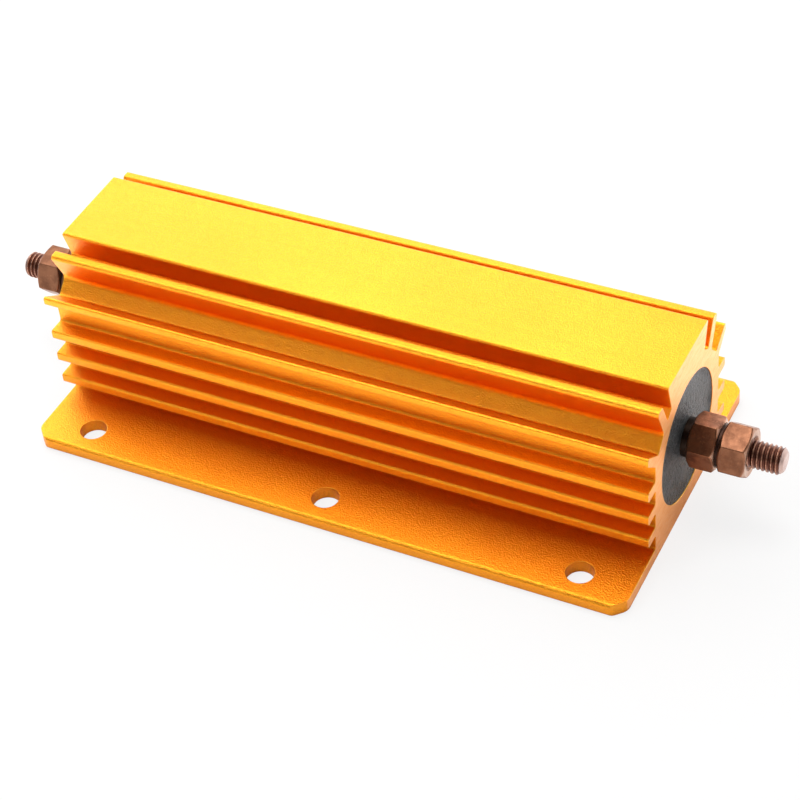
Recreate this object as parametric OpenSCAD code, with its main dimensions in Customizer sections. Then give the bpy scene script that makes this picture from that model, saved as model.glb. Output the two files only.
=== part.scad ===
// Aluminium housed power resistor: a finned, gold anodised extrusion with bolt-down flanges.
// Its bore holds a wirewound ceramic element set in cement, with a stud terminal at each end.
// X runs along the housing, Z up from the mounting face; the origin is the centre of that face.

/* [Housing] */
// Length of the extruded housing
body_length = 142; // [120:1:240]
// Width over the two mounting flanges
base_width = 73; // [70:0.5:90]
// Thickness of the mounting flanges
base_thickness = 3; // [2.4:0.1:3.4]
// Height from the mounting face to the marking pad
body_height = 41.8; // [41:0.1:46]
// Width of the flat marking pad along the top
pad_width = 22.6; // [21:0.2:24]
// Sides of the 45 degree cut at each flange corner
corner_cut = 2.8; // [1:0.1:5]
// Easing where a flange's corner cut meets its edges
corner_ease = 2.8; // [0.5:0.1:4]
// Rounding of the outer upper edge of a flange
flange_edge_r = 0.9; // [0.2:0.1:1.4]
// Diameter of the bore that holds the element
bore_d = 29.6; // [28.4:0.2:30.6]
// Metal between the mounting face and the bore
bore_floor = 4.1; // [3.6:0.1:4.6]
// Metal between the bore and the upright side walls
side_wall = 3.5; // [3:0.1:4]
// Metal between the bore and the grooves over it
crown_wall = 3.8; // [3.2:0.1:4.2]

/* [Fins] */
// Thickness of the level side fins and of the crown fins
fin_thickness = 2.35; // [1.8:0.05:2.6]
// Open gap between neighbouring side fins
fin_gap = 4.15; // [3.8:0.05:4.3]
// Reach of the fins past the side walls
fin_reach = 4; // [2:0.1:6]
// Number of level fins on each side
side_fins = 3; // [2:1:3]
// Rise of the shoulder fin's underside, in degrees
shoulder_rise = 42; // [36:1:45]
// Rise of the shoulder fin's upper side, in degrees
shoulder_slope = 35; // [30:1:38]
// Height of the shoulder fin's upright tip
shoulder_tip = 2.2; // [1.6:0.1:2.6]
// Lean of the crown fin from upright, in degrees
crown_fin_lean = 24; // [20:0.5:30]
// Drop from the marking pad to the crown fin's tip
crown_fin_drop = 2.3; // [0:0.1:3]
// Angle from the top, about the bore, where the slot beside the marking pad begins
slot_start = 30.3; // [28:0.1:32]
// Angle from the top, about the bore, where that slot meets the crown fin
slot_end = 39; // [37:0.1:41]

/* [Edges] */
// Radius on the outer edges of the extrusion
edge_r = 0.5; // [0.2:0.05:0.6]
// Radius in the roots of its grooves
root_r = 0.6; // [0.2:0.05:0.9]
// Radius on the outer edge of the crown fin
crown_edge_r = 0.85; // [0.3:0.05:1]
// Radius in the valley outside the crown fin
valley_r = 1.5; // [0.5:0.1:2]

/* [Mounting holes] */
// Diameter of the flange holes
hole_d = 6.1; // [4.5:0.1:7]
// Distance from the ends of a flange to the nearest holes
hole_end = 12; // [8:0.5:20]
// Distance from the edge of a flange to its row of holes
hole_inset = 6.5; // [5.5:0.1:8]
// Number of holes along each flange
holes_per_side = 3; // [2:1:3]

/* [Element] */
// Diameter of the ceramic core
core_d = 20; // [14:0.5:22]
// Edge chamfer of the ceramic core
core_chamfer = 0.8; // [0.2:0.1:1.5]
// Wall of the pressed end caps
cap_wall = 1; // [0.6:0.1:1.4]
// Depth to which an end cap covers the core
cap_depth = 8; // [5:0.5:12]
// Outer corner radius of the end caps
cap_r = 1.2; // [0.4:0.1:1.5]
// Diameter of the resistance wire
wire_d = 1.2; // [0.8:0.1:1.4]
// Advance of the winding in one turn
wire_pitch = 4; // [3:0.1:8]

/* [Terminals] */
// Major diameter of the stud thread
stud_d = 6; // [5:0.5:6.5]
// Distance from the end of the housing to the tip of the stud
stud_reach = 21.1; // [18:0.1:30]
// Chamfer on the tip of the stud
stud_chamfer = 0.9; // [0.3:0.1:1.2]
// Diameter of the stud's head, brazed to the end cap
head_d = 13; // [10:0.5:16]
// Thickness of the stud's head
head_thickness = 2.5; // [1.5:0.1:3.5]
// Diameter of the stud's collar
collar_d = 8.6; // [7.5:0.1:9.5]
// Distance by which the left collar stands out of the housing
collar_reach_left = 2.8; // [0.5:0.1:4]
// Distance by which the right collar stands out of the housing
collar_reach_right = 1.3; // [0.5:0.1:4]
// Width of the nuts across their flats
nut_af = 10.5; // [10:0.5:13]
// Thickness of a nut
nut_thickness = 6; // [4.6:0.1:6.4]
// Depth of the chamfer on the corners of a nut
nut_chamfer = 0.7; // [0.4:0.1:0.9]
// Widening of a nut's thread at its faces
countersink = 0.7; // [0.2:0.1:0.8]
// Outer diameter of the washer between the nuts
washer_d = 9.4; // [9:0.1:14]
// Thickness of the washer between the nuts
washer_thickness = 0.7; // [0.6:0.1:2]
// Edge break of the washer
washer_edge = 0.15; // [0.05:0.05:0.3]

/* [Filling] */
// Cement between the head of a stud and the seal
end_cover = 6.7; // [3:0.1:12]
// Thickness of the black seal at each end of the bore
seal_thickness = 4.5; // [3:0.1:6]
// Depth of the seal's face inside the end of the housing
seal_recess = 0.3; // [0.1:0.1:1]
// Radial clearance between round pieces
fit = 0.1; // [0.06:0.01:0.2]

/* [Hidden] */

LEFT = -1;
RIGHT = 1;
NUT_CHAMFER_ANGLE = 30;     // from the face of a nut

// Turn of each nut about its stud, as left after tightening
inner_nut_turn_left = 41;
inner_nut_turn_right = 15;
outer_nut_turn_left = 21;
outer_nut_turn_right = 48;

round_faces = 96;     // faces asked of a full circle
corner_steps = 4;     // steps in one eased edge of the extrusion
wire_sides = 6;       // sides of the wire's section
wire_steps = 16;      // steps in one turn of the winding
past = 1;             // overrun of a cut past the face that it opens

body_end = body_length / 2;
bore_r = bore_d / 2;
axis_z = bore_floor + bore_r;
wall_y = bore_r + side_wall;
fin_tip_y = wall_y + fin_reach;
crown_r = bore_r + crown_wall;

seal_face = body_end - seal_recess;
seal_back = seal_face - seal_thickness;
head_face = seal_back - end_cover;
cap_face = head_face - head_thickness;
core_end = cap_face - cap_wall;
cap_rim = core_end - cap_depth;
cap_outer_r = core_d / 2 + fit + cap_wall;
coil_r = (core_d / 2 + fit) / cos(180 / wire_steps) + wire_d / 2;
coil_end = cap_rim - wire_d / 2 - fit;
coil_turns = 2 * coil_end / wire_pitch;

stud_tip = body_end + stud_reach;

// Distances from the middle of the part to the seats of one terminal
function collar_face(side) = body_end + (side == LEFT ? collar_reach_left : collar_reach_right);
function washer_seat(side) = collar_face(side) + nut_thickness;
function outer_nut_seat(side) = washer_seat(side) + washer_thickness;

// ---- The extruded section ----

function heading(angle) = [cos(angle), sin(angle)];

// Where the line through p along angle a crosses the line through q along angle b
function crossing(p, a, q, b) =
    p + heading(a) * cross(q - p, heading(b)) / cross(heading(a), heading(b));

// Point of the crown's circle at an angle from the top, about the bore
function crown(angle) = [crown_r * sin(angle), axis_z + crown_r * cos(angle)];

function unit(v) = v / norm(v);

// The corner b between a and c, eased to radius r, or less where its sides are short
function eased(a, b, c, r) =
    let(
        u = unit(a - b),
        v = unit(c - b),
        half = acos(u * v) / 2,
        reach = min(r / tan(half), 0.45 * norm(a - b), 0.45 * norm(c - b)),
        radius = reach * tan(half),
        centre = b + unit(u + v) * radius / sin(half),
        from = b + u * reach - centre,
        turn = (2 * half - 180) * sign(cross(u, v)) / corner_steps
    )
    [
        for (i = [0 : corner_steps])
            centre + [
                from[0] * cos(turn * i) - from[1] * sin(turn * i),
                from[0] * sin(turn * i) + from[1] * cos(turn * i)
            ]
    ];

// Upper face of level fin i, or of the flange below the first one
function fin_top(i) = base_thickness + i * (fin_gap + fin_thickness);

// Corners of one side of the section from the base up to the pad, each as [point, radius]
function flange_corners() = [
    [[base_width / 2, 0], edge_r],
    [[base_width / 2, base_thickness], flange_edge_r],
    [[wall_y, base_thickness], root_r]
];

function side_fin_corners() = [
    for (i = [1 : side_fins]) each [
        [[wall_y, fin_top(i) - fin_thickness], root_r],
        [[fin_tip_y, fin_top(i) - fin_thickness], edge_r],
        [[fin_tip_y, fin_top(i)], edge_r],
        [[wall_y, fin_top(i)], root_r]
    ]
];

// The shoulder fin and the crown fin share the valley cut at 45 degrees between them
function upper_corners() =
    let(
        shoulder_root = [wall_y, fin_top(side_fins) + fin_gap],
        shoulder_low = shoulder_root + [fin_reach, fin_reach * tan(shoulder_rise)],
        shoulder_high = shoulder_low + [0, shoulder_tip],
        valley = crown(45),
        slot_foot = crown(slot_end),
        tip_z = body_height - crown_fin_drop,
        tip_inner = crossing(slot_foot, 90 - crown_fin_lean, [0, tip_z], 0),
        tip_outer = tip_inner + [fin_thickness / cos(crown_fin_lean), 0]
    )
    [
        [shoulder_root, root_r],
        [shoulder_low, edge_r],
        [shoulder_high, edge_r],
        [crossing(shoulder_high, shoulder_slope, valley, -45), root_r],
        [crossing(tip_outer, 90 - crown_fin_lean, valley, -45), valley_r],
        [tip_outer, crown_edge_r],
        [tip_inner, edge_r],
        [slot_foot, root_r],
        [crown(slot_start), root_r],
        [[pad_width / 2, body_height], edge_r]
    ];

// The whole section: one side, then its mirror image back down
function section_corners() =
    let(side = concat(flange_corners(), side_fin_corners(), upper_corners()))
    concat(side, [for (i = [len(side) - 1 : -1 : 0]) [[-side[i][0][0], side[i][0][1]], side[i][1]]]);

module housing_section() {
    corners = section_corners();
    n = len(corners);
    polygon([
        for (i = [0 : n - 1])
            each eased(corners[(i + n - 1) % n][0], corners[i][0], corners[(i + 1) % n][0], corners[i][1])
    ]);
}

module flange_holes() {
    first = body_end - hole_end;
    pitch = 2 * first / (holes_per_side - 1);
    for (i = [0 : holes_per_side - 1], side = [-1, 1])
        translate([first - i * pitch, side * (base_width / 2 - hole_inset), -past])
            cylinder(d = hole_d, h = base_thickness + 2 * past, $fn = round_faces);
}

// What a flange's corner loses, drawn with the sharp corner at the origin
module corner_waste() {
    on_side = [-corner_cut, 0];
    on_end = [0, -corner_cut];
    cut = concat(
        eased([-base_width, 0], on_side, on_end, corner_ease),
        eased(on_side, on_end, [0, -base_width], corner_ease)
    );
    polygon(concat(cut, [[past, cut[len(cut) - 1][1]], [past, past], [cut[0][0], past]]));
}

module corner_cuts() {
    for (x = [0, 1], y = [0, 1])
        mirror([x, 0, 0])
            mirror([0, y, 0])
                translate([body_end, base_width / 2, -past])
                    linear_extrude(height = base_thickness + 2 * past)
                        corner_waste();
}

module housing() {
    color("goldenrod")
        difference() {
            rotate([90, 0, 90])
                linear_extrude(height = body_length, center = true)
                    housing_section();
            translate([0, 0, axis_z])
                rotate([0, 90, 0])
                    cylinder(d = bore_d, h = body_length + 2 * past, center = true, $fn = round_faces);
            flange_holes();
            corner_cuts();
        }
}

// ---- Placing of the turned pieces ----

// Stands a piece's own Z along the bore axis, outward at the given end
module at_end(side) {
    translate([0, 0, axis_z])
        rotate([0, 90 * side, 0])
            children();
}

// A piece turned about the bore axis from its [radius, distance] outline
module turned(outline) {
    rotate_extrude($fn = round_faces)
        polygon(outline);
}

// ---- The element ----

module ceramic_core() {
    r = core_d / 2;
    color("ivory")
        at_end(RIGHT)
            turned([
                [0, -core_end],
                [r - core_chamfer, -core_end],
                [r, core_chamfer - core_end],
                [r, core_end - core_chamfer],
                [r - core_chamfer, core_end],
                [0, core_end]
            ]);
}

// One layer of round wire, a helix from cap to cap with a flat cut at each end
module resistance_winding() {
    rings = ceil(coil_turns * wire_steps);
    points = [
        for (i = [0 : rings], k = [0 : wire_sides - 1])
            let(
                turn = 360 * coil_turns * i / rings,
                around = 360 * k / wire_sides,
                r = coil_r + wire_d / 2 * cos(around),
                along = 2 * coil_end * i / rings - coil_end + wire_d / 2 * sin(around)
            )
            [r * cos(turn), r * sin(turn), along]
    ];
    walls = [
        for (i = [0 : rings - 1], k = [0 : wire_sides - 1])
            let(a = i * wire_sides + k, b = i * wire_sides + (k + 1) % wire_sides)
            each [[a, b, b + wire_sides], [a, b + wire_sides, a + wire_sides]]
    ];
    start = [for (k = [wire_sides - 1 : -1 : 0]) k];
    finish = [for (k = [0 : wire_sides - 1]) rings * wire_sides + k];
    color("rosybrown")
        at_end(RIGHT)
            polyhedron(points = points, faces = concat([start], walls, [finish]));
}

// A drawn cup pressed over the end of the core
module end_cap(side) {
    inner_r = core_d / 2 + fit;
    bend = min(cap_r, cap_wall + core_chamfer);
    color("silver")
        at_end(side)
            turned(concat(
                [[0, cap_face]],
                [[0, core_end], [inner_r, core_end], [inner_r, cap_rim], [cap_outer_r, cap_rim]],
                [
                    for (i = [0 : corner_steps])
                        [cap_outer_r - bend, cap_face - bend] + bend * heading(90 * i / corner_steps)
                ]
            ));
}

// ---- The terminals ----

// Head on the cap, shank through the filling, collar through the seal, thread outside
module terminal_stud(side) {
    r = stud_d / 2;
    color("sienna")
        at_end(side)
            turned([
                [0, cap_face],
                [head_d / 2, cap_face],
                [head_d / 2, head_face],
                [r, head_face],
                [r, seal_back],
                [collar_d / 2, seal_back],
                [collar_d / 2, collar_face(side)],
                [r, collar_face(side)],
                [r, stud_tip - stud_chamfer],
                [r - stud_chamfer, stud_tip],
                [0, stud_tip]
            ]);
}

// A hexagon nut chamfered on both faces, its seat at z = 0
module nut(turn) {
    corner_r = nut_af / 2 / cos(30);
    face_r = corner_r - nut_chamfer / tan(NUT_CHAMFER_ANGLE);
    chamfer_reach = nut_chamfer + fit * tan(NUT_CHAMFER_ANGLE);
    hole_r = stud_d / 2 + fit;
    rotate([0, 0, turn])
        difference() {
            intersection() {
                cylinder(r = corner_r, h = nut_thickness, $fn = 6);
                turned([
                    [0, 0],
                    [face_r, 0],
                    [corner_r + fit, chamfer_reach],
                    [corner_r + fit, nut_thickness - chamfer_reach],
                    [face_r, nut_thickness],
                    [0, nut_thickness]
                ]);
            }
            turned([
                [0, -past],
                [hole_r + countersink + past, -past],
                [hole_r, countersink],
                [hole_r, nut_thickness - countersink],
                [hole_r + countersink + past, nut_thickness + past],
                [0, nut_thickness + past]
            ]);
        }
}

// Locks the stud against its collar
module inner_nut(side, turn) {
    color("peru")
        at_end(side)
            translate([0, 0, collar_face(side)])
                nut(turn);
}

// Clamps a cable lug against the washer
module outer_nut(side, turn) {
    color("peru")
        at_end(side)
            translate([0, 0, outer_nut_seat(side)])
                nut(turn);
}

module washer(side) {
    inner_r = stud_d / 2 + 2 * fit;
    outer_r = washer_d / 2;
    color("saddlebrown")
        at_end(side)
            translate([0, 0, washer_seat(side)])
                turned([
                    [inner_r, 0],
                    [outer_r - washer_edge, 0],
                    [outer_r, washer_edge],
                    [outer_r, washer_thickness - washer_edge],
                    [outer_r - washer_edge, washer_thickness],
                    [inner_r, washer_thickness]
                ]);
}

// ---- The filling ----

// Cement cast round the whole element, between the two seals
module cement_filling() {
    outer_r = bore_r - fit;
    shank_r = stud_d / 2 + fit;
    head_r = head_d / 2 + fit;
    end_r = cap_outer_r + fit;
    coil_outer_r = coil_r + wire_d / 2 + fit;
    half = [
        [coil_outer_r, cap_rim],
        [end_r, cap_rim],
        [end_r, cap_face],
        [head_r, cap_face],
        [head_r, head_face],
        [shank_r, head_face],
        [shank_r, seal_back],
        [outer_r, seal_back]
    ];
    color("gainsboro")
        at_end(RIGHT)
            turned(concat(half, [for (i = [len(half) - 1 : -1 : 0]) [half[i][0], -half[i][1]]]));
}

// A disc of hard black cement that closes the bore round the stud's collar
module end_seal(side) {
    color("darkslategray")
        at_end(side)
            turned([
                [collar_d / 2 + fit, seal_back],
                [bore_r - fit, seal_back],
                [bore_r - fit, seal_face],
                [collar_d / 2 + fit, seal_face]
            ]);
}

housing();
ceramic_core();
resistance_winding();
end_cap(LEFT);  // end_cap_left
end_cap(RIGHT);  // end_cap_right
terminal_stud(LEFT);  // terminal_stud_left
terminal_stud(RIGHT);  // terminal_stud_right
cement_filling();
end_seal(LEFT);  // end_seal_left
end_seal(RIGHT);  // end_seal_right
inner_nut(LEFT, inner_nut_turn_left);  // inner_nut_left
inner_nut(RIGHT, inner_nut_turn_right);  // inner_nut_right
washer(LEFT);  // washer_left
washer(RIGHT);  // washer_right
outer_nut(LEFT, outer_nut_turn_left);  // outer_nut_left
outer_nut(RIGHT, outer_nut_turn_right);  // outer_nut_right
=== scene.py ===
"""Looks of an aluminium housed power resistor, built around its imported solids.

Every length is in metres. X runs along the housing, Z up from the mounting face. A piece on the bore
axis is first drawn in end coordinates: radius from the axis, and distance outward from mid length.
"""

from __future__ import annotations

import logging
import math
from collections.abc import Sequence
from dataclasses import dataclass, field
from enum import Enum

import bmesh
import bpy
from mathutils import Matrix, Quaternion, Vector

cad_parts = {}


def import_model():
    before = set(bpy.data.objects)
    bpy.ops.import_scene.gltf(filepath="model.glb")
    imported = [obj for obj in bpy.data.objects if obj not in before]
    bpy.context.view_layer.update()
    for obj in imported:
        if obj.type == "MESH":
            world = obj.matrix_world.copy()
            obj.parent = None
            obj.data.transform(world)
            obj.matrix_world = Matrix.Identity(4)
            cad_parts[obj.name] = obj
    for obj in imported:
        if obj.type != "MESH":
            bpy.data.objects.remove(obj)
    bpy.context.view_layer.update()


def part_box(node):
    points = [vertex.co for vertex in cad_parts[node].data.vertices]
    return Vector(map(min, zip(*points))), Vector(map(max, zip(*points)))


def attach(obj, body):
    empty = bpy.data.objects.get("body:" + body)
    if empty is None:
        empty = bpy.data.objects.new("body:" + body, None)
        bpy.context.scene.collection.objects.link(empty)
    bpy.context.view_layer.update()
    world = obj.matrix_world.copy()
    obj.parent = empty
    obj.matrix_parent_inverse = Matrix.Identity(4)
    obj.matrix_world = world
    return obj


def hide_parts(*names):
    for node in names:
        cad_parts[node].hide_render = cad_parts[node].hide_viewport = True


MM = 0.001
Colour = tuple[float, float, float]
Outline = list[tuple[float, float]]

log = logging.getLogger("resistor")


class Side(Enum):
    """The end of the housing that a terminal stands on."""

    LEFT = -1
    RIGHT = 1

    @property
    def word(self) -> str:
        """The side as it stands in node names."""
        return self.name.lower()


class Axis(Enum):
    """A coordinate that a finish is stretched along."""

    X = 0
    Y = 1
    Z = 2


# ---- Node trees ----


class Tree:
    """A node tree under construction, with short ways to add and join nodes."""

    def __init__(self, tree: bpy.types.NodeTree) -> None:
        """Starts from an empty tree.

        Args:
            tree: The shader or geometry tree to fill.
        """
        self.tree = tree
        tree.nodes.clear()

    def add(
        self, kind: str, inputs: dict[str | int, object] | None = None, **settings: object
    ) -> bpy.types.Node:
        """Adds a node.

        Args:
            kind: The node's type name.
            inputs: Values or output sockets for its inputs, by name or place.
            **settings: The node's own properties.

        Returns:
            The new node.
        """
        node = self.tree.nodes.new(kind)
        for name, value in settings.items():
            setattr(node, name, value)
        for key, value in (inputs or {}).items():
            self.feed(node.inputs[key], value)
        return node

    def feed(self, socket: bpy.types.NodeSocket, value: object) -> None:
        """Links an output socket to an input, or sets the input's value.

        Args:
            socket: The input.
            value: A socket, number, colour or vector.
        """
        if isinstance(value, bpy.types.NodeSocket):
            self.tree.links.new(value, socket)
        elif socket.type == "RGBA" and len(value) == 3:
            socket.default_value = (*value, 1.0)
        else:
            socket.default_value = value

    def maths(self, operation: str, *values: object, clamp: bool = False) -> bpy.types.NodeSocket:
        """Adds a Math node and returns its result.

        Args:
            operation: The operation's name.
            *values: Its one to three inputs.
            clamp: Whether the result is kept from 0 to 1.

        Returns:
            The result.
        """
        node = self.add("ShaderNodeMath", dict(enumerate(values)), operation=operation, use_clamp=clamp)
        return node.outputs[0]

    def remap(
        self, value: object, low: float, high: float, to_low: float = 0.0, to_high: float = 1.0
    ) -> bpy.types.NodeSocket:
        """Smoothly maps a range of values to another.

        Args:
            value: The value.
            low: Start of its range.
            high: End of its range.
            to_low: Result at the start.
            to_high: Result at the end.

        Returns:
            The mapped value, held at both ends.
        """
        node = self.add("ShaderNodeMapRange", interpolation_type="SMOOTHSTEP")
        for key, item in enumerate((value, low, high, to_low, to_high)):
            self.feed(node.inputs[key], item)
        return node.outputs[0]


class Finish(Tree):
    """A material under construction: object coordinates in, one Principled shader out."""

    def __init__(self, name: str, metallic: float = 0.0) -> None:
        """Starts a material.

        Args:
            name: The material's name.
            metallic: 1 for bare or anodised metal, 0 otherwise.
        """
        self.material = bpy.data.materials.new(name)
        self.material.use_nodes = True
        super().__init__(self.material.node_tree)
        self.shader = self.add("ShaderNodeBsdfPrincipled", {"Metallic": metallic})
        self.add("ShaderNodeOutputMaterial", {"Surface": self.shader.outputs[0]})
        coordinates = self.add("ShaderNodeTexCoord")
        self.place = coordinates.outputs["Object"]
        self.normal = coordinates.outputs["Normal"]

    def stretched(self, scale: Sequence[float]) -> bpy.types.NodeSocket:
        """Object coordinates with a scale of their own on each axis.

        Args:
            scale: Scale along X, Y and Z.

        Returns:
            The scaled coordinates.
        """
        return self.add("ShaderNodeMapping", {"Vector": self.place, "Scale": tuple(scale)}).outputs[0]

    def noise(
        self, scale: float, detail: float = 3.0,
        vector: bpy.types.NodeSocket | None = None, roughness: float = 0.5,
    ) -> bpy.types.NodeSocket:
        """Cloudy noise from about 0.3 to 0.7.

        Args:
            scale: Features in a metre, or in a unit of the vector.
            detail: Octaves.
            vector: Coordinates, or object coordinates where left out.
            roughness: Strength of the finer octaves.

        Returns:
            The noise value.
        """
        inputs = {"Vector": vector or self.place, "Scale": scale, "Detail": detail, "Roughness": roughness}
        return self.add("ShaderNodeTexNoise", inputs).outputs[0]

    def mix(self, share: object, first: object, second: object, blend: str = "MIX") -> bpy.types.NodeSocket:
        """Mixes two colours.

        Args:
            share: Share of the second one.
            first: A colour or socket.
            second: A colour or socket.
            blend: How the second one acts on the first.

        Returns:
            The mixed colour.
        """
        node = self.add("ShaderNodeMix", data_type="RGBA", blend_type=blend)
        for key, item in ((0, share), (6, first), (7, second)):
            self.feed(node.inputs[key], item)
        return node.outputs[2]

    def facing(self, axis: Axis, low: float, high: float) -> bpy.types.NodeSocket:
        """A mask of the faces that lie square to an axis.

        Args:
            axis: The axis.
            low: Part of the normal along it where the mask starts.
            high: Part of the normal where it is full.

        Returns:
            The mask.
        """
        parts = self.add("ShaderNodeSeparateXYZ", {0: self.normal})
        return self.remap(self.maths("ABSOLUTE", parts.outputs[axis.value]), low, high)

    def facing_up(self, low: float, high: float) -> bpy.types.NodeSocket:
        """A mask of the faces that look upward.

        Args:
            low: Upward part of the normal where the mask starts.
            high: Upward part where it is full.

        Returns:
            The mask.
        """
        return self.remap(self.add("ShaderNodeSeparateXYZ", {0: self.normal}).outputs[2], low, high)

    def grooves(self, reach: float) -> bpy.types.NodeSocket:
        """A mask of the places that the piece itself closes in, where shade is painted.

        Args:
            reach: Distance within which a neighbouring face counts.

        Returns:
            The mask.
        """
        felt = self.add("ShaderNodeAmbientOcclusion", {"Distance": reach}, samples=6, only_local=True)
        return self.remap(felt.outputs["AO"], 0.60, 0.20)

    def radius(self, height: float) -> bpy.types.NodeSocket:
        """Distance from the bore axis.

        Args:
            height: The axis's height over the mounting face.

        Returns:
            The distance.
        """
        parts = self.add("ShaderNodeSeparateXYZ", {0: self.place})
        across, up = parts.outputs[1], self.maths("SUBTRACT", parts.outputs[2], height)
        both = self.maths("ADD", self.maths("MULTIPLY", across, across), self.maths("MULTIPLY", up, up))
        return self.maths("SQRT", both)

    def worn_edges(self, width: float) -> bpy.types.NodeSocket:
        """A mask of the outer and inner edges.

        Args:
            width: Width over which an edge is felt.

        Returns:
            The mask.
        """
        soft = self.add("ShaderNodeBevel", {"Radius": width}, samples=4).outputs[0]
        flat = self.add("ShaderNodeNewGeometry").outputs["Normal"]
        along = self.add("ShaderNodeVectorMath", {0: soft, 1: flat}, operation="DOT_PRODUCT").outputs["Value"]
        return self.remap(along, 0.995, 0.86)

    def relief(
        self, height: bpy.types.NodeSocket, depth: float, strength: float = 1.0,
        below: bpy.types.NodeSocket | None = None,
    ) -> bpy.types.NodeSocket:
        """Turns a height into fine relief.

        Args:
            height: The height, about 0 to 1.
            depth: Depth of the relief.
            strength: Share of it that is felt.
            below: Relief that this one lies on.

        Returns:
            The new normal.
        """
        inputs = {"Height": height, "Distance": depth, "Strength": strength}
        if below:
            inputs["Normal"] = below
        return self.add("ShaderNodeBump", inputs).outputs[0]

    def dress(
        self, colour: object, roughness: object, normal: object, **uniform: float
    ) -> bpy.types.Material:
        """Connects the finish.

        Args:
            colour: Base colour.
            roughness: Roughness.
            normal: Relief.
            **uniform: Other values, the same all over, with _ for a space.

        Returns:
            The material.
        """
        self.feed(self.shader.inputs["Base Color"], colour)
        self.feed(self.shader.inputs["Roughness"], roughness)
        self.feed(self.shader.inputs["Normal"], normal)
        for name, value in uniform.items():
            self.feed(self.shader.inputs[name.replace("_", " ")], value)
        return self.material


# ---- Finishes ----


@dataclass(frozen=True)
class GoldAnodising:
    """Satin gold anodising on an etched extrusion, with paler sawn ends that are partly a painted reflection,
    painted shade in its grooves and a painted highlight along its upper edges.
    """

    open_gold: Colour = (1.0, 0.40, 0.022)
    deep_gold: Colour = (0.88, 0.25, 0.011)
    # Painted highlight along the upper edges.
    rubbed_gold: Colour = (1.0, 0.66, 0.080)
    # Painted shade in the grooves.
    groove_gold: Colour = (0.84, 0.32, 0.030)
    # Sawn ends: a finish of their own, paler in part as a painted reflection of bright light.
    sawn_gold: Colour = (1.0, 0.50, 0.20)
    grain: float = 2900.0
    grain_depth: float = 0.15 * MM
    groove_reach: float = 7.0 * MM
    end_face: float = 70.6 * MM
    die_lines: tuple[float, float, float] = (9.0, 1700.0, 1700.0)
    saw_lines: tuple[float, float, float] = (300.0, 300.0, 2600.0)

    def material(self) -> bpy.types.Material:
        """Builds the material.

        Returns:
            The gold anodised finish.
        """
        f = Finish("gold_anodised", metallic=1.0)
        grain = f.noise(self.grain, 2.0, roughness=0.6)
        lines = f.noise(1.0, 3.0, f.stretched(self.die_lines), roughness=0.6)
        cloud = f.noise(28.0, 3.0)
        reach = f.maths("ABSOLUTE", f.add("ShaderNodeSeparateXYZ", {0: f.place}).outputs[0])
        outermost = f.maths("GREATER_THAN", reach, self.end_face)
        ends = f.maths("MULTIPLY", f.facing(Axis.X, 0.90, 0.98), outermost)
        saw = f.noise(1.0, 3.0, f.stretched(self.saw_lines), roughness=0.65)

        colour = f.mix(f.remap(cloud, 0.3, 0.7), self.open_gold, self.mid(0.25))
        colour = f.mix(f.remap(grain, 0.4, 0.7, 0.0, 0.5), colour, self.deep_gold)
        colour = f.mix(f.remap(lines, 0.5, 0.75, 0.0, 0.25), colour, self.deep_gold)
        sawn = f.mix(f.remap(saw, 0.4, 0.7, 0.0, 0.5), self.sawn_gold, self.deep_gold)
        # painted shade: darker, redder gold where the piece closes in on itself
        colour = f.mix(f.grooves(self.groove_reach), colour, self.groove_gold)
        # sawn ends: their own finish, its paleness partly a painted reflection
        colour = f.mix(ends, colour, sawn)
        # painted highlight: brighter yellow on the edges that face upward, toward the overhead lamps
        rubbed = f.maths("MULTIPLY", f.worn_edges(0.45 * MM), f.facing_up(0.1, 0.6))
        colour = f.mix(f.maths("MULTIPLY", rubbed, 0.8), colour, self.rubbed_gold)

        rough = f.remap(f.noise(900.0, 3.0), 0.3, 0.7, 0.33, 0.41)
        rough = f.maths("ADD", rough, f.maths("MULTIPLY", ends, 0.10))
        smooth = f.add("ShaderNodeBevel", {"Radius": 0.3 * MM}, samples=4).outputs[0]
        normal = f.relief(grain, self.grain_depth, 1.0, smooth)
        normal = f.relief(f.mix(ends, lines, saw), 0.022 * MM, 0.6, normal)
        return f.dress(colour, rough, normal, Coat_Weight=0.06, Coat_Roughness=0.35)

    def mid(self, share: float) -> Colour:
        """A gold between the open and the deep one.

        Args:
            share: Share of the deep one.

        Returns:
            The colour.
        """
        return tuple(a + (b - a) * share for a, b in zip(self.open_gold, self.deep_gold))


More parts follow.
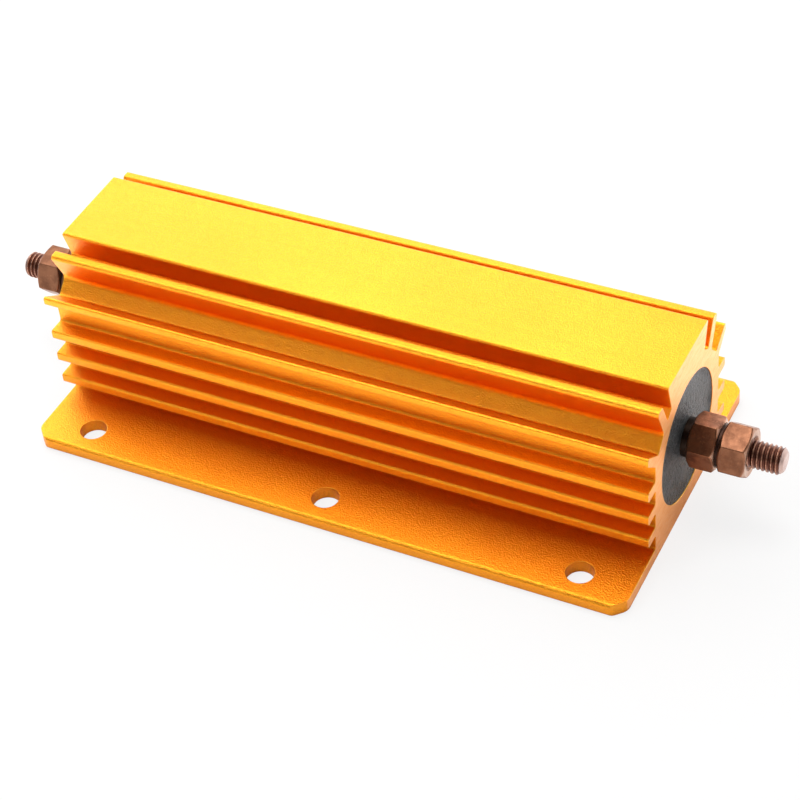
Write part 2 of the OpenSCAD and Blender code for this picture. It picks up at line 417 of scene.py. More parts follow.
@dataclass(frozen=True)
class BrownedCopper:
    """Copper plating that has browned, rubbed bright along its edges, with painted highlights on its turned
    faces and thread crests and painted shade on the stud's collar.
    """

    name: str
    axis_height: float
    rubbed: Colour = (0.58, 0.26, 0.14)
    plain: Colour = (0.34, 0.145, 0.076)
    browned: Colour = (0.17, 0.066, 0.035)
    # Turned faces: partly machined metal, partly a painted highlight.
    faced: Colour | None = None
    # A second tone beyond a given distance from mid length.
    handled: Colour | None = None
    handled_from: float = 0.0
    handled_share: float = 0.6
    # Painted shade on the collar.
    dipped: Colour = (0.045, 0.028, 0.020)
    root_radius: float = 0.0
    crest_radius: float = 0.0
    roughness: float = 0.36

    def material(self) -> bpy.types.Material:
        """Builds the material.

        Returns:
            The browned copper finish.
        """
        f = Finish(self.name, metallic=1.0)
        stain = f.noise(260.0, 5.0, roughness=0.62)
        speck = f.noise(2400.0, 3.0, roughness=0.6)
        radius = f.radius(self.axis_height)
        rings = f.noise(3800.0, 2.0, f.add("ShaderNodeCombineXYZ", {0: radius}).outputs[0])
        faces = f.facing(Axis.X, 0.9, 0.99)

        colour = f.mix(f.remap(stain, 0.38, 0.66), self.plain, self.browned)
        colour = f.mix(f.remap(speck, 0.56, 0.72, 0.0, 0.5), colour, self.rubbed)
        colour = f.mix(f.maths("MULTIPLY", f.worn_edges(0.3 * MM), 0.6), colour, self.rubbed)
        # turned end faces and chamfers paler: partly machined metal, partly a painted highlight
        if self.faced:
            faced_highlight_mask = f.facing(Axis.X, 0.80, 0.90)
            stained = f.mix(f.remap(stain, 0.45, 0.7, 0.0, 0.5), self.faced, self.rubbed)
            colour = f.mix(faced_highlight_mask, colour, stained)
        if self.crest_radius > 0:
            # the thread's crests take the plain and rubbed tones and its roots the browned one; the pale
            # crests are partly a painted highlight
            crest = f.remap(radius, self.root_radius, self.crest_radius)
            colour = f.mix(crest, self.browned, f.mix(f.remap(speck, 0.4, 0.6), self.plain, self.rubbed))
            # painted shade: the collar between the seal and the inner nut is near black
            collar = f.remap(radius, 1.05 * self.crest_radius, 1.07 * self.crest_radius)
            colour = f.mix(collar, colour, self.dipped)
        # a second tone beyond a given distance from mid length
        if self.handled:
            reach = f.maths("ABSOLUTE", f.add("ShaderNodeSeparateXYZ", {0: f.place}).outputs[0])
            outside = f.maths("GREATER_THAN", reach, self.handled_from)
            colour = f.mix(f.maths("MULTIPLY", outside, self.handled_share), colour, self.handled)
        rough = f.remap(stain, 0.3, 0.7, self.roughness, self.roughness + 0.16)
        normal = f.relief(speck, 0.018 * MM, 0.6)
        normal = f.relief(f.maths("MULTIPLY", rings, faces), 0.015 * MM, 0.7, normal)
        return f.dress(colour, rough, normal)


@dataclass(frozen=True)
class BlackCement:
    """Trowelled black cement with streaks and a few pale specks."""

    dark: Colour = (0.010, 0.011, 0.012)
    worn: Colour = (0.075, 0.080, 0.083)
    speck: Colour = (0.52, 0.52, 0.50)

    def material(self) -> bpy.types.Material:
        """Builds the material.

        Returns:
            The black cement finish.
        """
        f = Finish("black_cement")
        cloud = f.noise(160.0, 5.0, roughness=0.6)
        streak = f.noise(1.0, 4.0, f.stretched((1100.0, 1300.0, 1000.0)), roughness=0.65)
        pit = f.noise(2100.0, 3.0, roughness=0.6)
        colour = f.mix(f.remap(cloud, 0.4, 0.68), self.dark, self.worn)
        colour = f.mix(f.remap(streak, 0.5, 0.72, 0.0, 0.7), colour, self.worn)
        colour = f.mix(f.remap(pit, 0.735, 0.78), colour, self.speck)
        rough = f.remap(streak, 0.3, 0.7, 0.24, 0.44)
        normal = f.relief(streak, 0.80 * MM, 1.0)
        normal = f.relief(pit, 0.20 * MM, 0.9, normal)
        return f.dress(colour, rough, normal)


@dataclass(frozen=True)
class PaleCement:
    """Sandy, unglazed filling cement."""

    pale: Colour = (0.62, 0.59, 0.53)
    sandy: Colour = (0.40, 0.36, 0.30)

    def material(self) -> bpy.types.Material:
        """Builds the material.

        Returns:
            The filling cement finish.
        """
        f = Finish("pale_cement")
        cloud = f.noise(120.0, 5.0)
        sand = f.noise(2200.0, 3.0, roughness=0.7)
        colour = f.mix(f.remap(cloud, 0.35, 0.65), self.pale, self.mid())
        colour = f.mix(f.remap(sand, 0.58, 0.72), colour, self.sandy)
        normal = f.relief(sand, 0.08 * MM, 0.8)
        return f.dress(colour, f.remap(sand, 0.3, 0.7, 0.78, 0.95), normal)

    def mid(self) -> Colour:
        """The colour halfway between pale and sandy."""
        return tuple((a + b) / 2 for a, b in zip(self.pale, self.sandy))


@dataclass(frozen=True)
class CoreCeramic:
    """Dense fired ceramic, ivory with faint iron specks."""

    ivory: Colour = (0.80, 0.76, 0.67)
    warm: Colour = (0.70, 0.63, 0.50)
    iron: Colour = (0.30, 0.20, 0.12)

    def material(self) -> bpy.types.Material:
        """Builds the material.

        Returns:
            The ceramic finish.
        """
        f = Finish("core_ceramic")
        cloud = f.noise(90.0, 4.0)
        speck = f.noise(1500.0, 2.0)
        colour = f.mix(f.remap(cloud, 0.3, 0.7), self.ivory, self.warm)
        colour = f.mix(f.remap(speck, 0.72, 0.78), colour, self.iron)
        normal = f.relief(f.noise(1800.0, 3.0), 0.02 * MM, 0.6)
        return f.dress(colour, f.remap(cloud, 0.3, 0.7, 0.42, 0.6), normal)


@dataclass(frozen=True)
class DrawnMetal:
    """Bare grey metal with fine lines left by drawing."""

    name: str
    bright: Colour
    dull: Colour
    lines: tuple[float, float, float] = (60.0, 2400.0, 2400.0)

    def material(self) -> bpy.types.Material:
        """Builds the material.

        Returns:
            The drawn metal finish.
        """
        f = Finish(self.name, metallic=1.0)
        cloud = f.noise(200.0, 4.0)
        lines = f.noise(1.0, 3.0, f.stretched(self.lines))
        colour = f.mix(f.remap(cloud, 0.35, 0.65), self.bright, self.dull)
        rough = f.remap(lines, 0.3, 0.7, 0.24, 0.42)
        return f.dress(colour, rough, f.relief(lines, 0.01 * MM, 0.6))


# ---- Geometry trees ----


class Shaping(Tree):
    """A geometry tree under construction, with named inputs."""

    def __init__(self, name: str) -> None:
        """Starts a tree with a geometry input and output.

        Args:
            name: The tree's name.
        """
        super().__init__(bpy.data.node_groups.new(name, "GeometryNodeTree"))
        self.tree.interface.new_socket("Geometry", in_out="INPUT", socket_type="NodeSocketGeometry")
        self.tree.interface.new_socket("Geometry", in_out="OUTPUT", socket_type="NodeSocketGeometry")
        self.identifiers: dict[str, str] = {}
        self.entry = self.add("NodeGroupInput")

    def given(self, name: str, kind: str = "Float") -> bpy.types.NodeSocket:
        """Adds a named input.

        Args:
            name: The input's name.
            kind: Its kind, as in the socket's type name.

        Returns:
            The value inside the tree.
        """
        item = self.tree.interface.new_socket(name, in_out="INPUT", socket_type=f"NodeSocket{kind}")
        self.identifiers[name] = item.identifier
        return self.entry.outputs[name]

    def end(self, geometry: bpy.types.NodeSocket, material: bpy.types.NodeSocket) -> None:
        """Ends the tree with real, smooth, dressed geometry.

        Args:
            geometry: The shape.
            material: The material input.
        """
        real = self.add("GeometryNodeRealizeInstances", {0: geometry}).outputs[0]
        smooth = self.add("GeometryNodeSetShadeSmooth", {0: real}).outputs[0]
        dressed = self.add("GeometryNodeSetMaterial", {"Geometry": smooth, "Material": material}).outputs[0]
        self.add("NodeGroupOutput", {0: dressed})

    def run(self, mesh: bpy.types.Mesh, name: str, values: dict[str, object]) -> bpy.types.Object:
        """Runs the tree on a mesh and keeps the plain result.

        Args:
            mesh: The mesh to start from.
            name: Name of the finished piece.
            values: Values of the named inputs.

        Returns:
            The piece, with no modifier left on it.
        """
        carrier = bpy.data.objects.new(name + "_carrier", mesh)
        bpy.context.scene.collection.objects.link(carrier)
        modifier = carrier.modifiers.new("shape", "NODES")
        modifier.node_group = self.tree
        for key, value in values.items():
            modifier[self.identifiers[key]] = value
        result = carrier.evaluated_get(bpy.context.evaluated_depsgraph_get())
        made = bpy.data.meshes.new_from_object(result)
        bpy.data.objects.remove(carrier)
        return shown(name, made)


def thread_roller() -> Shaping:
    """The tree that rolls a screw thread into the outside of a turned stud.

    Returns:
        The tree. The stud stands along its own Z.
    """
    s = Shaping("Thread Roller")
    pitch, depth, major = s.given("Pitch"), s.given("Depth"), s.given("Major Radius")
    start, run_out, material = s.given("Start"), s.given("Run Out"), s.given("Material", "Material")
    parts = s.add("ShaderNodeSeparateXYZ", {0: s.add("GeometryNodeInputPosition").outputs[0]})
    x, y, along = parts.outputs
    reach = s.maths("SQRT", s.maths("ADD", s.maths("MULTIPLY", x, x), s.maths("MULTIPLY", y, y)))
    turn = s.maths("DIVIDE", s.maths("ARCTAN2", y, x), 2 * math.pi)
    phase = s.maths("FRACT", s.maths("SUBTRACT", s.maths("DIVIDE", along, pitch), turn))
    slope = s.maths("ABSOLUTE", s.maths("SUBTRACT", s.maths("MULTIPLY", phase, 2.0), 1.0))
    crest = s.remap(slope, 0.08, 0.96)
    begun = s.remap(s.maths("DIVIDE", s.maths("SUBTRACT", along, start), run_out), 0.0, 1.0)
    cut = s.maths("MULTIPLY", s.maths("MULTIPLY", depth, s.maths("SUBTRACT", 1.0, crest)), begun)
    uncut = s.maths("MULTIPLY", s.maths("LESS_THAN", along, start), major)
    left = s.maths("ADD", s.maths("SUBTRACT", major, cut), uncut)
    share = s.maths("DIVIDE", s.maths("MINIMUM", reach, left), s.maths("MAXIMUM", reach, 1e-7))
    rolled_x, rolled_y = s.maths("MULTIPLY", x, share), s.maths("MULTIPLY", y, share)
    flat = s.add("ShaderNodeCombineXYZ", {0: rolled_x, 1: rolled_y, 2: along})
    moved = s.add("GeometryNodeSetPosition", {"Geometry": s.entry.outputs[0], "Position": flat.outputs[0]})
    s.end(moved.outputs[0], material)
    return s


def wire_winder() -> Shaping:
    """The tree that winds one layer of round wire along the bore axis.

    Returns:
        The tree.
    """
    s = Shaping("Wire Winder")
    turns, coil_radius, length = s.given("Turns"), s.given("Coil Radius"), s.given("Length")
    wire_radius, height = s.given("Wire Radius"), s.given("Axis Height")
    material = s.given("Material", "Material")
    path = s.add(
        "GeometryNodeCurveSpiral",
        {
            "Resolution": 48, "Rotations": turns, "Height": length,
            "Start Radius": coil_radius, "End Radius": coil_radius,
        },
    ).outputs[0]
    profile = s.add("GeometryNodeCurvePrimitiveCircle", {"Resolution": 10, "Radius": wire_radius}).outputs[0]
    sweep = {"Curve": path, "Profile Curve": profile, "Fill Caps": True}
    wire = s.add("GeometryNodeCurveToMesh", sweep).outputs[0]
    foot = s.add("ShaderNodeCombineXYZ", {0: s.maths("MULTIPLY", length, -0.5), 2: height}).outputs[0]
    quarter = (0.0, math.pi / 2, 0.0)
    laid = s.add("GeometryNodeTransform", {"Geometry": wire, "Translation": foot, "Rotation": quarter})
    s.end(laid.outputs[0], material)
    return s


def cement_trowel() -> Shaping:
    """The tree that leaves the outer face of a seal uneven, risen at its two rims.

    Returns:
        The tree. The seal stands along its own Z.
    """
    s = Shaping("Cement Trowel")
    inner, outer, face = s.given("Inner Radius"), s.given("Outer Radius"), s.given("Face")
    unevenness, creep, material = s.given("Unevenness"), s.given("Creep"), s.given("Material", "Material")
    position = s.add("GeometryNodeInputPosition").outputs[0]
    parts = s.add("ShaderNodeSeparateXYZ", {0: position})
    x, y, along = parts.outputs
    reach = s.maths("SQRT", s.maths("ADD", s.maths("MULTIPLY", x, x), s.maths("MULTIPLY", y, y)))
    on_face = s.maths("GREATER_THAN", along, s.maths("SUBTRACT", face, 0.01 * MM))
    to_rim = s.maths("MINIMUM", s.maths("SUBTRACT", outer, reach), s.maths("SUBTRACT", reach, inner))
    inside = s.remap(to_rim, 0.0, 1.2 * MM)
    seeded = {"Vector": position, "W": 3.7, "Scale": 190.0, "Detail": 4.0}
    lumps = s.add("ShaderNodeTexNoise", seeded, noise_dimensions="4D")
    rough = s.maths("MULTIPLY", s.maths("SUBTRACT", lumps.outputs[0], 0.62), unevenness)
    lift = s.maths("MULTIPLY", s.maths("SUBTRACT", 1.0, inside), creep)
    rise = s.maths("MULTIPLY", s.maths("ADD", s.maths("MULTIPLY", rough, inside), lift), on_face)
    offset = s.add("ShaderNodeCombineXYZ", {2: rise}).outputs[0]
    moved = s.add("GeometryNodeSetPosition", {"Geometry": s.entry.outputs[0], "Offset": offset})
    s.end(moved.outputs[0], material)
    return s


def nut_setter() -> Shaping:
    """The tree that sets a nut on each point of a terminal, turned as its point says.

    Returns:
        The tree. The points stand along their own Z.
    """
    s = Shaping("Nut Setter")
    blank, material = s.given("Nut", "Object"), s.given("Material", "Material")
    turn = s.add("GeometryNodeInputNamedAttribute", {"Name": "turn"}, data_type="FLOAT").outputs[0]
    angles = s.add("ShaderNodeCombineXYZ", {2: turn}).outputs[0]
    nut = s.add("GeometryNodeObjectInfo", {"Object": blank}).outputs["Geometry"]
    rotation = s.add("FunctionNodeEulerToRotation", {0: angles}).outputs[0]
    seats = {"Points": s.entry.outputs[0], "Instance": nut, "Rotation": rotation}
    set_nuts = s.add("GeometryNodeInstanceOnPoints", seats)
    s.end(set_nuts.outputs[0], material)
    return s


# ---- Mesh helpers ----


def shown(name: str, mesh: bpy.types.Mesh) -> bpy.types.Object:
    """Puts a mesh in the scene.

    Args:
        name: The piece's name.
        mesh: Its mesh, already in place.

    Returns:
        The new object, at the origin.
    """
    mesh.name = name
    piece = bpy.data.objects.new(name, mesh)
    bpy.context.scene.collection.objects.link(piece)
    return piece


def settle(mesh: bpy.types.Mesh, matrix: Matrix, sharp: float = 40.0) -> None:
    """Moves a mesh to its place, points its faces outward and shades it.

    Args:
        mesh: The mesh.
        matrix: Its place.
        sharp: Angle in degrees past which an edge stays sharp.
    """
    mesh.transform(matrix)
    shell = bmesh.new()
    shell.from_mesh(mesh)
    bmesh.ops.remove_doubles(shell, verts=shell.verts, dist=1e-7)
    bmesh.ops.recalc_face_normals(shell, faces=shell.faces)
    shell.to_mesh(mesh)
    shell.free()
    mesh.shade_smooth()
    mesh.set_sharp_from_angle(angle=math.radians(sharp))


def outward(side: Side, height: float) -> Matrix:
    """Where end coordinates lie in the frame.

    Args:
        side: The end of the housing.
        height: The bore axis's height.

    Returns:
        The placing matrix.
    """
    return Matrix.Translation((0, 0, height)) @ Matrix.Rotation(math.radians(90 * side.value), 4, "Y")


def grid_mesh(name: str, rows: Sequence[Sequence[Vector]], closed: bool) -> bpy.types.Mesh:
    """Skins rows of points that run round an axis.

    Args:
        name: The mesh's name.
        rows: Points of each row. A row of one point is a pole.
        closed: Whether the last row joins the first.

    Returns:
        The mesh.
    """
    points: list[Vector] = []
    index: list[list[int]] = []
    for row in rows:
        index.append(list(range(len(points), len(points) + len(row))))
        points.extend(row)
    faces: list[tuple[int, ...]] = []
    pairs = list(zip(index, index[1:])) + ([(index[-1], index[0])] if closed else [])
    for low, high in pairs:
        count = max(len(low), len(high))
        for k in range(count):
            n = (k + 1) % count
            corner = [low[k % len(low)], low[n % len(low)], high[n % len(high)], high[k % len(high)]]
            faces.append(tuple(dict.fromkeys(corner)))
    mesh = bpy.data.meshes.new(name)
    mesh.from_pydata([tuple(p) for p in points], [], faces)
    return mesh


def eased(outline: Outline, radius: float, steps: int = 4) -> Outline:
    """Rounds the corners of an open outline, apart from its two ends.

    Args:
        outline: The corners.
        radius: Radius of the rounding, less where sides are short.
        steps: Steps in each corner.

    Returns:
        The rounded outline.
    """
    rounded = [outline[0]]
    for before, corner, after in zip(outline, outline[1:], outline[2:]):
        a, b, c = Vector(before), Vector(corner), Vector(after)
        reach = min(radius, (a - b).length * 0.45, (c - b).length * 0.45)
        start, end = b + (a - b).normalized() * reach, b + (c - b).normalized() * reach
        for i in range(steps + 1):
            t = i / steps
            rounded.append(tuple(start.lerp(b, t).lerp(b.lerp(end, t), t)))
    return [*rounded, outline[-1]]


def turned(name: str, outline: Outline, segments: int, closed: bool = False) -> bpy.types.Mesh:
    """Turns an outline about the axis.

    Args:
        name: The mesh's name.
        outline: Radius and distance of its points. A radius of 0 is a pole.
        segments: Segments round the axis.
        closed: Whether the outline is a loop.

    Returns:
        The mesh, along its own Z.
    """
    rows: list[list[Vector]] = []
    for radius, along in outline:
        if radius < 1e-9:
            rows.append([Vector((0, 0, along))])
            continue
        angles = (2 * math.pi * k / segments for k in range(segments))
        rows.append([Vector((radius * math.cos(a), radius * math.sin(a), along)) for a in angles])
    return grid_mesh(name, rows, closed)


def steps_between(low: float, high: float, longest: float) -> list[float]:
    """Even steps from one value to another, both included.

    Args:
        low: The first value.
        high: The last value.
        longest: Longest step.

    Returns:
        The values.
    """
    count = max(1, math.ceil((high - low) / longest))
    return [low + (high - low) * i / count for i in range(count + 1)]


def keep(piece: bpy.types.Object, slot: str, *nodes: str) -> None:
    """Attaches a finished piece to the root body and hides the solids it stands for.

    Args:
        piece: The piece.
        slot: Not used.
        *nodes: Solids that it stands for.
    """
    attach(piece, "root")
    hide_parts(*nodes)
    log.info("%s: %d faces, for %s", piece.name, len(piece.data.polygons), ", ".join(nodes))


def dress_node(name: str, material: bpy.types.Material) -> None:
    """Gives a carried-over solid its finish.

    Args:
        name: The node.
        material: The finish.
    """
    node = bpy.data.objects[name]
    if not node.data.materials:
        node.data.materials.append(material)
    for slot in node.material_slots:
        slot.material = material
    log.info("%s: solid kept, finish %s", name, material.name)


# ---- Sub-assemblies ----


@dataclass
class Housing:
    """The finned extrusion, kept as its solid and given its anodised finish."""

    finish: GoldAnodising = field(default_factory=GoldAnodising)

    def build(self) -> None:
        """Dresses the housing."""
        dress_node("housing", self.finish.material())


@dataclass
class Element:
    """The wound core in its cement, closed up inside the bore."""

    wire_radius: float = 0.6 * MM
    wire_pitch: float = 4.0 * MM
    wire: DrawnMetal = DrawnMetal(
        "resistance_wire", (0.46, 0.42, 0.38), (0.25, 0.21, 0.18), (900.0, 900.0, 900.0)
    )
    caps: DrawnMetal = DrawnMetal("cap_steel", (0.62, 0.61, 0.58), (0.38, 0.37, 0.36))

    def build(self) -> None:
        """Dresses the core, its caps and the filling, and winds the wire."""
        dress_node("ceramic_core", CoreCeramic().material())
        cap_finish = self.caps.material()
        for side in Side:
            dress_node(f"end_cap_{side.word}", cap_finish)
        dress_node("cement_filling", PaleCement().material())
        self.wind()

    def wind(self) -> None:
        """Makes the winding, which stands for its faceted solid."""
        low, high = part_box("resistance_winding")
        length = high.x - low.x - 2 * self.wire_radius
        values = {
            "Turns": length / self.wire_pitch,
            "Coil Radius": (high.y - low.y) / 2 - self.wire_radius,
            "Length": length,
            "Wire Radius": self.wire_radius,
            "Axis Height": (high.z + low.z) / 2,
            "Material": self.wire.material(),
        }
        piece = wire_winder().run(bpy.data.meshes.new("winding_start"), "winding", values)
        settle(piece.data, Matrix.Identity(4), 60.0)
        keep(piece, "resistance_wire", "resistance_winding")


@dataclass
class NutBlank:
    """A hexagon nut with rounded edges, its seat at the origin."""

    across_flats: float = 10.5 * MM
    thickness: float = 6.0 * MM
    bore_radius: float = 3.1 * MM
    chamfer: float = 0.6 * MM
    chamfer_slope: float = math.tan(math.radians(30))
    countersink: float = 0.7 * MM
    corner_radius: float = 0.25 * MM
    edge_blend: float = 0.34 * MM

    def hexagon(self, angle: float) -> float:
        """Reach of the rounded hexagon.

        Args:
            angle: Direction from the axis.

        Returns:
            The distance to its side.
        """
        flat = self.across_flats / 2
        from_flat = math.radians(30) - (angle % math.radians(60))
        to_corner = math.radians(30) - abs(from_flat)
        centre = (flat - self.corner_radius) / math.cos(math.radians(30))
        across = centre * math.sin(to_corner)
        if across < self.corner_radius * math.sin(math.radians(30)):
            return centre * math.cos(to_corner) + math.sqrt(self.corner_radius**2 - across**2)
        return flat / math.cos(from_flat)

    def outside(self, angle: float, along: float) -> float:
        """Reach of the chamfered side.

        Args:
            angle: Direction from the axis.
            along: Distance from the seat.

        Returns:
            The distance from the axis.
        """
        side = self.hexagon(angle)
        cone = self.face_radius + min(along, self.thickness - along) / self.chamfer_slope
        share = min(1.0, max(0.0, 0.5 + 0.5 * (cone - side) / self.edge_blend))
        return cone + (side - cone) * share - self.edge_blend * share * (1 - share)

    @property
    def face_radius(self) -> float:
        """Radius of the flat face inside the chamfers."""
        return self.across_flats / 2 / math.cos(math.radians(30)) - self.chamfer / self.chamfer_slope

    @property
    def angles(self) -> list[float]:
        """Directions of the columns, close together at the corners."""
        half = [0.45, 0.9, 1.4, 2.4, 5.0, 9.0, 14.0, 19.5, 25.0]
        sector = [0.0, *half, 30.0, *(60.0 - a for a in reversed(half))]
        return [math.radians(60.0 * k + a) for k in range(6) for a in sector]

    def mesh(self) -> bpy.types.Mesh:
        """Skins the nut.

        Returns:
            The mesh of the nut.
        """
        top, sink = self.thickness, self.countersink
        inner = eased([(self.bore_radius, top / 2), (self.bore_radius, sink), (self.bore_radius + sink, 0.0),
                       (self.face_radius - 0.12 * MM, 0.0)], 0.12 * MM, 3)
        low = [h * MM for h in (0.01, 0.03, 0.06, 0.1, *(0.14 + 0.04 * k for k in range(18)), 1.0, 1.5, 2.2)]
        rows: list[list[Vector]] = []
        angles = self.angles
        for radius, along in inner:
            rows.append([Vector((radius * math.cos(a), radius * math.sin(a), along)) for a in angles])
        for along in [*low, top / 2, *(top - h for h in reversed(low))]:
            row = []
            for a in angles:
                radius = self.outside(a, along)
                row.append(Vector((radius * math.cos(a), radius * math.sin(a), along)))
            rows.append(row)
        for radius, along in reversed(inner[1:]):
            rows.append([Vector((radius * math.cos(a), radius * math.sin(a), top - along)) for a in angles])
        mesh = grid_mesh("nut_blank", rows, closed=True)
        settle(mesh, Matrix.Identity(4), 50.0)
        return mesh


@dataclass
class Terminal:
    """One stud with its two nuts and the washer between them."""

    side: Side
    inner_turn: float
    outer_turn: float
    stud_radius: float = 3.0 * MM
    thread_pitch: float = 1.0 * MM
    thread_depth: float = 0.38 * MM
    run_out: float = 1.2 * MM
    tip_chamfer: float = 0.9 * MM
    collar_radius: float = 4.3 * MM
    head_thickness: float = 2.5 * MM
    segments: int = 72
    thread_steps: int = 14

    def __post_init__(self) -> None:
        """Reads the places of the solids in end coordinates."""
        low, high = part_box(f"terminal_stud_{self.side.word}")
        self.height = (low.z + high.z) / 2
        self.head_radius = (high.z - low.z) / 2
        self.head_back, self.tip = sorted((abs(low.x), abs(high.x)))
        self.collar_back = min(map(abs, self.span(f"end_seal_{self.side.word}")))
        self.inner_seat = self.span(f"inner_nut_{self.side.word}")[0]
        self.outer_seat = self.span(f"outer_nut_{self.side.word}")[0]

    def span(self, node: str) -> tuple[float, float]:
        """How far out a solid begins and ends.

        Args:
            node: The solid.

        Returns:
            The nearer and the further distance from mid length.
        """
        low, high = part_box(node)
        near, far = sorted((abs(low.x), abs(high.x)))
        return near, far

    @property
    def place(self) -> Matrix:
        """From end coordinates to the frame."""
        return outward(self.side, self.height)

    def build(
        self, roller: Shaping, setter: Shaping, blank: bpy.types.Object,
        finishes: dict[str, bpy.types.Material],
    ) -> None:
        """Makes the stud, nuts and washer.

        Args:
            roller: The thread's tree.
            setter: The nuts' tree.
            blank: The nut to set.
            finishes: Materials of the stud, nut and washer.
        """
        self.make_stud(roller, finishes["stud"])
        self.make_nuts(setter, blank, finishes["nut"])
        self.make_washer(finishes["washer"])

    def make_stud(self, roller: Shaping, material: bpy.types.Material) -> None:
        """Turns the stud and rolls its thread.

        Args:
            roller: The thread's tree.
            material: The stud's finish.
        """
        r, collar = self.stud_radius, self.collar_radius
        head_front = self.head_back + self.head_thickness
        body = eased(
            [(0.0, self.head_back), (self.head_radius, self.head_back),
             (self.head_radius, head_front), (r, head_front), (r, self.collar_back),
             (collar, self.collar_back), (collar, self.inner_seat), (r, self.inner_seat)],
            0.25 * MM,
        )
        shoulder = self.tip - self.tip_chamfer
        rings = steps_between(self.inner_seat, shoulder, self.thread_pitch / self.thread_steps)[1:]
        thread = [(r, h) for h in rings]
        end = [(r - (h - shoulder), h) for h in steps_between(shoulder, self.tip - 0.1 * MM, 0.07 * MM)[1:]]
        rim = end[-1][0]
        crown = [(rim - 0.12 * MM, self.tip - 0.02 * MM), (rim - 0.3 * MM, self.tip)]
        crown += [(0.9 * MM, self.tip), (0.0, self.tip)]
        mesh = turned("stud_start", [*body, *thread, *end, *crown], self.segments)
        values = {
            "Pitch": self.thread_pitch, "Depth": self.thread_depth, "Major Radius": r,
            "Start": self.inner_seat + 0.2 * MM, "Run Out": self.run_out, "Material": material,
        }
        piece = roller.run(mesh, f"stud_{self.side.word}", values)
        settle(piece.data, self.place, 55.0)
        keep(piece, "stud_copper", f"terminal_stud_{self.side.word}")

    def make_nuts(self, setter: Shaping, blank: bpy.types.Object, material: bpy.types.Material) -> None:
        """Sets the two nuts.

        Args:
            setter: The nuts' tree.
            blank: The nut to set.
            material: The nuts' finish.
        """
        mesh = bpy.data.meshes.new("nut_seats")
        mesh.from_pydata([(0, 0, self.inner_seat), (0, 0, self.outer_seat)], [], [])
        turns = mesh.attributes.new("turn", "FLOAT", "POINT")
        turns.data.foreach_set("value", [math.radians(self.inner_turn), math.radians(self.outer_turn)])
        piece = setter.run(mesh, f"nuts_{self.side.word}", {"Nut": blank, "Material": material})
        settle(piece.data, self.place, 50.0)
        keep(piece, "nut_copper", f"inner_nut_{self.side.word}", f"outer_nut_{self.side.word}")

    def make_washer(self, material: bpy.types.Material) -> None:
        """Turns the washer.

        Args:
            material: The washer's finish.
        """
        node = f"washer_{self.side.word}"
        near, far = self.span(node)
        low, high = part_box(node)
        outer, bore, soft = (high.z - low.z) / 2, self.stud_radius + 0.1 * MM, 0.12 * MM
        start = (bore, (near + far) / 2)
        loop = [start, (bore, near), (outer, near), (outer, far), (bore, far), start]
        mesh = turned(f"flat_washer_{self.side.word}", eased(loop, soft), self.segments, closed=True)
        piece = shown(f"flat_washer_{self.side.word}", mesh)
        settle(mesh, self.place, 40.0)
        mesh.materials.append(material)
        keep(piece, "washer_copper", node)


@dataclass
class EndSeal:
    """The black cement poured round a stud's collar."""

    side: Side
    collar_radius: float = 4.3 * MM
    unevenness: float = 0.55 * MM
    creep: float = 0.16 * MM
    ring: float = 0.3 * MM
    segments: int = 144

    def build(self, trowel: Shaping, material: bpy.types.Material) -> None:
        """Pours the seal.

        Args:
            trowel: The tree of its uneven face.
            material: The cement's finish.
        """
        node = f"end_seal_{self.side.word}"
        low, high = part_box(node)
        back, face = sorted((abs(low.x), abs(high.x)))
        height, outer = (low.z + high.z) / 2, (high.z - low.z) / 2
        inner = self.collar_radius
        rings = [(r, face) for r in steps_between(inner, outer, self.ring)]
        sides = [(outer, back + (face - back) * t) for t in (0.75, 0.5, 0.25, 0.0)]
        mesh = turned("seal_start", [*rings, *sides, (inner, back)], self.segments, closed=True)
        values = {
            "Inner Radius": inner, "Outer Radius": outer, "Face": face,
            "Unevenness": self.unevenness, "Creep": self.creep, "Material": material,
        }
        piece = trowel.run(mesh, f"seal_{self.side.word}", values)
        settle(piece.data, outward(self.side, height), 50.0)
        keep(piece, "black_cement", node)


# ---- Studio ----


@dataclass(frozen=True)
class Lamp:
    """A soft square lamp aimed at the part."""

    name: str
    azimuth: float
    elevation: float
    distance: float
    size: float
    radiance: float
    tint: Colour = (1.0, 1.0, 1.0)

    def hang(self, target: Vector) -> None:
        """Hangs the lamp.

        Args:
            target: The point that it faces.
        """
        data = bpy.data.lights.new(self.name, "AREA")
        data.shape = "SQUARE"
        data.size = self.size
        data.color = self.tint
        data.energy = self.radiance * math.pi * self.size**2
        lamp = bpy.data.objects.new(self.name, data)
        a, e = math.radians(self.azimuth), math.radians(self.elevation)
        away = Vector((math.sin(a) * math.cos(e), -math.cos(a) * math.cos(e), math.sin(e)))
        lamp.location = target + away * self.distance
        lamp.rotation_mode = "QUATERNION"
        lamp.rotation_quaternion = away.to_track_quat("Z", "Y")
        bpy.context.scene.collection.objects.link(lamp)
        log.info("lamp %s hung", self.name)


